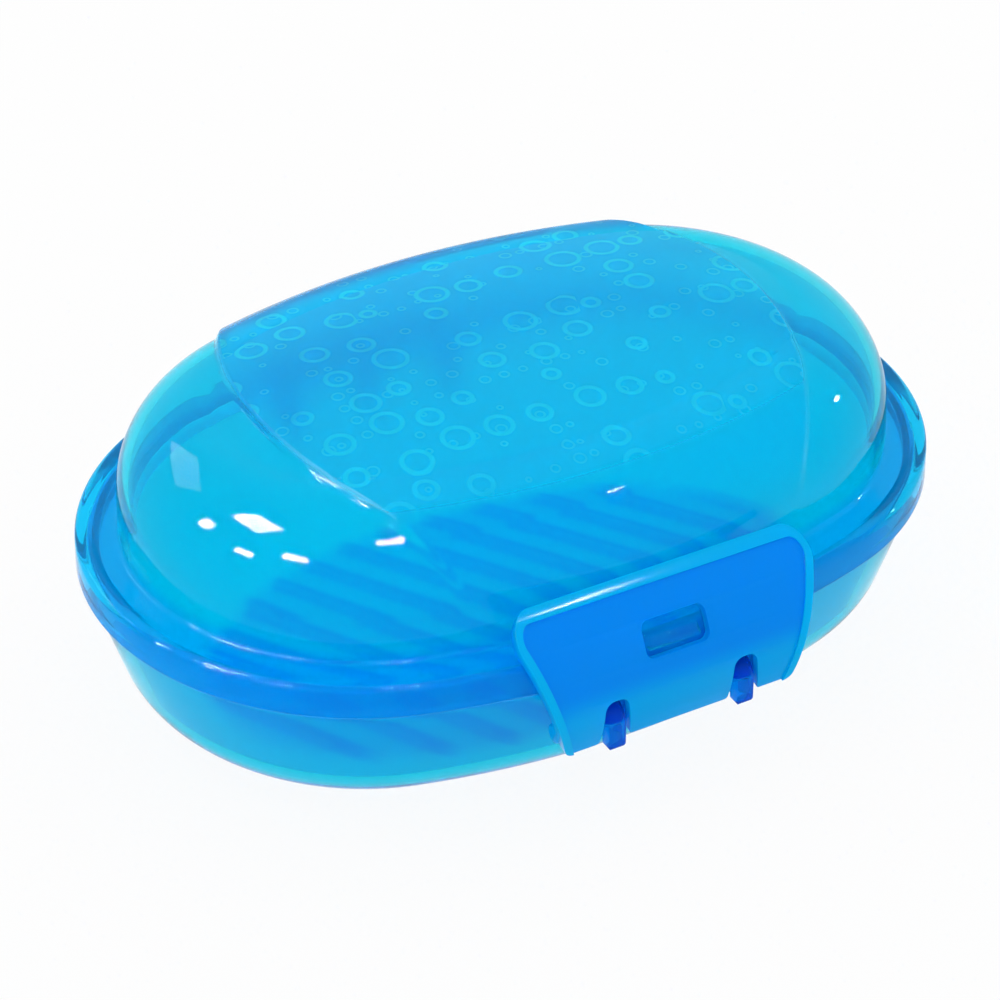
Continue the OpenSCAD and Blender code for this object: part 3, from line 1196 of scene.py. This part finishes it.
    def clip(self, low: float, high: float) -> Piece:
        """One rear clip, open below, with the arm that joins it to the skirt.

        Args:
            low: X of one side.
            high: X of the other side.

        Returns:
            the clip's mesh.
        """
        out, bore, mouth = self.clip_out, self.clip_bore, self.clip_mouth
        lip = math.degrees(math.asin(mouth / bore))
        reach = math.degrees(math.asin(mouth / out))
        behind = arc(self.hinge_axis, out, 270 + reach, 360 + 62, 22)
        arm = [(43.0, 23.4), (40.6, 23.4), (40.6, 20.7), (41.8, 20.7)]
        below = arc(self.hinge_axis, out, 165, 270 - reach, 14)
        inside = arc(self.hinge_axis, bore, 270 - lip, lip - 90, 26)
        return prism_x("rear_clip", behind + arm + below + inside, low, high, self.edge)

    def build(self) -> Piece:
        """Model the whole moulding.

        Returns:
            the finished piece.
        """
        self.piece = finish_shell(OVAL.sweep("lid_moulding", self.section(), 60, 36))
        self.score_panel()
        self.raise_panel()
        near, far = self.clip_from, self.clip_to
        self.fuse([join([self.catch(), self.clip(near, far), self.clip(-far, -near)])], 60)
        self.settle_normals()
        return self.piece


@dataclass
class FrontLatch(Moulding):
    """The curved closure plate with its raised border, window, slots and rod. Sizes in mm."""

    radius: float = 17.2
    thick: float = 1.5
    edge: float = 0.14
    centre: Point2 = (-27.9, 17.47)
    low: float = 12.6
    high: float = 32.0
    foot_half: float = 12.95
    widen: float = 0.306
    border: float = 1.15
    border_rise: float = 0.3
    window_half: float = 4.7
    window_low: float = 23.2
    window_high: float = 27.7
    window_round: float = 1.1
    slot_top: float = 19.2
    slot_half: float = 1.6
    slot_foot: float = 2.25
    hook_x: float = 9.6
    axis: Point2 = (-42.0, 15.0)
    lip_wide: float = 0.4
    lip_share: float = 0.7
    rod_half: float = 17.4
    rod_radius: float = 1.35
    web_gap: float = 2.4
    web_deep: float = 2.1
    web_half: float = 1.0
    web_end: float = 0.6
    cuts: int = 36

    def half_at(self, z: float) -> float:
        """Half width of the plate at a height, in mm."""
        return self.foot_half + self.widen * z

    def flat(self, z: float) -> float:
        """How far along the drum's outside a height lies from the drum's own, in mm."""
        return self.radius * math.asin((z - self.centre[1]) / self.radius)

    def both_sides(self, right: list[Corner]) -> list[Point2]:
        """Closed front view, as (x, z) points, from the corners of its right half."""
        left = [(-x, z, r) for x, z, r in reversed(right)]
        return soften(right + left, closed=True)

    def outline(self) -> list[Point2]:
        """Front view of the plate with its two slots.

        Returns:
            (x, z) points.
        """
        right: list[Corner] = [
            (self.hook_x - self.slot_foot, self.low, 0.5),
            (self.hook_x - self.slot_half, self.slot_top, 1.4),
            (self.hook_x + self.slot_half, self.slot_top, 1.4),
            (self.hook_x + self.slot_foot, self.low, 0.5),
            (self.half_at(self.low), self.low, 1.6),
            (self.half_at(self.high), self.high, 3.0),
        ]
        return self.both_sides(right)

    def recess(self) -> list[Point2]:
        """Front view of the sunk face inside the border, open at the foot.

        Returns:
            (x, z) points.
        """
        below, top = self.low - 3, self.high - self.border
        foot, head = self.half_at(below) - self.border, self.half_at(top) - self.border
        return self.both_sides([(foot, below, 0), (head, top, 1.6)])

    def window(self) -> list[Point2]:
        """The window's outline, as (x, z) points."""
        half, bend = self.window_half, self.window_round
        return self.both_sides([(half, self.window_low, bend), (half, self.window_high, bend)])

    def slab(self, name: str, outline: list[Point2], front: float, back: float) -> Piece:
        """A (x, z) outline of the flattened plate as a solid between two depths behind its outside."""
        corners = [Vector((x, front, self.flat(z))) * MM for x, z in outline]
        return prism(name, corners, Vector((0, (back - front) * MM, 0)), 0)

    def plate(self) -> Piece:
        """The plate, modelled flat and then wrapped onto its drum.

        Returns:
            the plate's mesh.
        """
        piece = self.slab("latch_moulding", self.outline(), 0, self.thick)
        window = self.slab("window_cut", self.window(), -1, self.thick + 1)
        combine(piece, window, "DIFFERENCE")
        recess = self.slab("recess_cut", self.recess(), -1, self.border_rise)
        combine(piece, recess, "DIFFERENCE")
        activate(piece)
        bpy.ops.object.mode_set(mode="EDIT")
        bevel_sharp(self.edge * MM, 3)
        lowest, highest = self.flat(self.low), self.flat(self.high)
        for i in range(1, self.cuts):
            level = (lowest + (highest - lowest) * i / self.cuts) * MM
            pick_all()
            bpy.ops.mesh.bisect(plane_co=(0, 0, level), plane_no=(0, 0, 1))
        finish_shell(piece, 30)
        border = piece.data.attributes.new("border", "FLOAT", "POINT")
        beside = self.window_half + self.lip_wide
        under, over = self.flat(self.window_low - self.lip_wide), self.flat(self.window_high)
        for vertex in piece.data.vertices:
            x, depth, along = vertex.co / MM
            around = abs(x) < beside and under < along < over
            lip = self.lip_share if around and depth > self.border_rise + 0.05 else 0.0
            border.data[vertex.index].value = 1.0 if depth < 0.8 * self.border_rise else lip
            angle, reach = along / self.radius, self.radius - depth
            y, z = self.centre[0] - reach * math.cos(angle), self.centre[1] + reach * math.sin(angle)
            vertex.co = Vector((x, y, z)) * MM
        return piece

    def build(self) -> Piece:
        """Model the whole moulding.

        Returns:
            the finished piece.
        """
        self.piece = self.plate()
        y, z = self.axis
        near, far = self.hook_x - self.web_gap, self.hook_x + self.web_gap
        edge = self.half_at(self.low) - self.web_end
        back, low_z, high_z = y - self.web_deep, z - self.web_half, z + self.web_half
        outline = [(back, low_z), (y, low_z), (y, high_z), (back, high_z)]
        spans = ((-edge, -far), (-near, near), (far, edge))
        webs = [prism_x("web", outline, low, high, 0) for low, high in spans]
        rod = rod_x("latch_rod", self.rod_half, self.axis, self.rod_radius, 0.3)
        return self.fuse([rod, *webs], 30)


# Studio


@dataclass(frozen=True)
class Softbox:
    """A rectangular lamp that only shows as a reflection."""

    name: str
    azimuth: float
    elevation: float
    width: float
    height: float
    strength: float

    def place(self, reach: float = 0.8) -> Piece:
        """Hang the lamp at a distance from the box, aimed at it.

        Args:
            reach: distance in metres.

        Returns:
            the lamp.
        """
        azimuth, elevation = math.radians(self.azimuth), math.radians(self.elevation)
        aim, level = Vector((0, 0, 0.03)), math.cos(elevation)
        ray = Vector((math.sin(azimuth) * level, -math.cos(azimuth) * level, math.sin(elevation)))
        bpy.ops.object.light_add(type="AREA", location=aim + ray * reach)
        lamp = bpy.context.object
        lamp.name = self.name
        lamp.rotation_euler = ray.to_track_quat("Z", "Y").to_euler()
        lamp.data.shape = "RECTANGLE"
        lamp.data.size, lamp.data.size_y = self.width, self.height
        lamp.data.energy = self.strength * math.pi * self.width * self.height
        lamp.visible_diffuse = False
        lamp.visible_transmission = False
        return lamp


@dataclass
class Studio:
    """White floor, white surroundings, lamps and the camera."""

    softboxes: tuple[Softbox, ...] = (
        Softbox("window_high", -104, 54, 0.21, 0.18, 200),
        Softbox("window_left", -111, 30, 0.08, 0.12, 200),
        Softbox("window_low", -86, 26, 0.11, 0.08, 200),
        Softbox("window_right", -64, 37, 0.15, 0.09, 200),
        Softbox("lamp_near", -15, 62, 0.13, 0.09, 200),
        Softbox("wall_behind", -152, 36, 0.34, 0.20, 9),
        Softbox("lamp_right", 44, 55, 0.03, 0.02, 260),
        Softbox("lamp_far", 81, 22, 0.05, 0.05, 200),
    )
    floor_size: float = 6.0
    floor_drop: float = 0.0002
    floor_colour: tuple[float, ...] = (0.9, 0.9, 0.9, 1.0)
    floor_shown: float = 0.92
    lens: float = 130.13

    def world(self) -> None:
        """Plain white surroundings."""
        world = bpy.data.worlds.new("studio_world")
        world.use_nodes = True
        background = world.node_tree.nodes["Background"]
        background.inputs["Color"].default_value = (1, 1, 1, 1)
        background.inputs["Strength"].default_value = 1.0
        bpy.context.scene.world = world

    def floor(self) -> None:
        """A white floor that shows white to the camera and through the plastic, with a faint shadow."""
        bpy.ops.mesh.primitive_plane_add(size=self.floor_size, location=(0, 0, -self.floor_drop))
        floor = bpy.context.object
        floor.name = "studio_floor"
        material = bpy.data.materials.new("floor_white")
        material.use_nodes = True
        w = Wiring(material.node_tree)
        nodes = material.node_tree.nodes
        shader = nodes["Principled BSDF"]
        w.fill(shader, {"Base Color": self.floor_colour, "Roughness": 0.9, "Specular IOR Level": 0.0})
        path = w.add("LightPath", {}).outputs
        seen = w.math("MAXIMUM", path["Is Glossy Ray"], path["Is Transmission Ray"])
        share = w.math("MAXIMUM", seen, w.math("MULTIPLY", path["Is Camera Ray"], self.floor_shown))
        white = w.add("Emission", {}).outputs[0]
        mix = w.add("MixShader", {0: share, 1: shader.outputs[0], 2: white})
        w.fill(nodes["Material Output"], {"Surface": mix.outputs[0]})
        floor.data.materials.append(material)

    def camera(self) -> None:
        """The camera at the photographed angle and distance."""
        right = Vector((0.8695758, -0.4937978, 0.0012837))
        up = Vector((0.2792257, 0.4938560, 0.8234921))
        back = Vector((-0.4072725, -0.7157303, 0.5673263))
        place = Vector((-0.200675, -0.350461, 0.298013))
        bpy.ops.object.camera_add()
        camera = bpy.context.object
        camera.data.sensor_width = 36
        camera.data.lens = self.lens
        camera.data.clip_start = 0.01
        turn = Matrix((right, up, back)).transposed().to_4x4()
        camera.matrix_world = Matrix.Translation(place) @ turn
        bpy.context.scene.camera = camera

    def build(self) -> None:
        """Set up the whole studio."""
        bpy.context.scene.view_settings.view_transform = "Standard"
        self.world()
        self.floor()
        for softbox in self.softboxes:
            softbox.place()
        self.camera()


def attach(piece: Piece, body: Body, node: str, material: bpy.types.Material) -> None:
    """Give a finished piece its material and body, and hide the CAD node that it stands for.

    Args:
        piece: the finished mesh.
        body: body that it moves with.
        node: CAD node that it stands for.
        material: its material.
    """
    piece.data.materials.clear()
    piece.data.materials.append(material)
    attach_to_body(piece, body.value)
    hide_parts(node)
    LOG.info("%s: %d faces", piece.name, len(piece.data.polygons))


def main() -> None:
    """Build every piece in order, dress it and set up the studio."""
    logging.basicConfig(level=logging.INFO)
    tint, skin = tint_group(), skin_group()
    tray = TrayPlastic("base_plastic", (0.0, 0.64, 0.85), (0.0, 0.22, 0.80), 0.02, 0.88)
    cover = CoverPlastic("lid_plastic", (0.0, 0.69, 0.85), (0.0, 0.54, 0.90), 0.012, 0.88)
    closure = LatchPlastic("latch_plastic", (0.0, 0.52, 0.90), (0.0, 0.28, 0.90), 0.07, 0.2)
    attach(BaseShell().build(), Body.BASE, "base_shell", tray.make(tint, skin))
    attach(LidShell().build(), Body.LID, "lid_shell", cover.make(tint, skin))
    attach(FrontLatch().build(), Body.LATCH, "front_latch", closure.make(tint, skin))
    Studio().build()


if __name__ == "__main__":
    main()
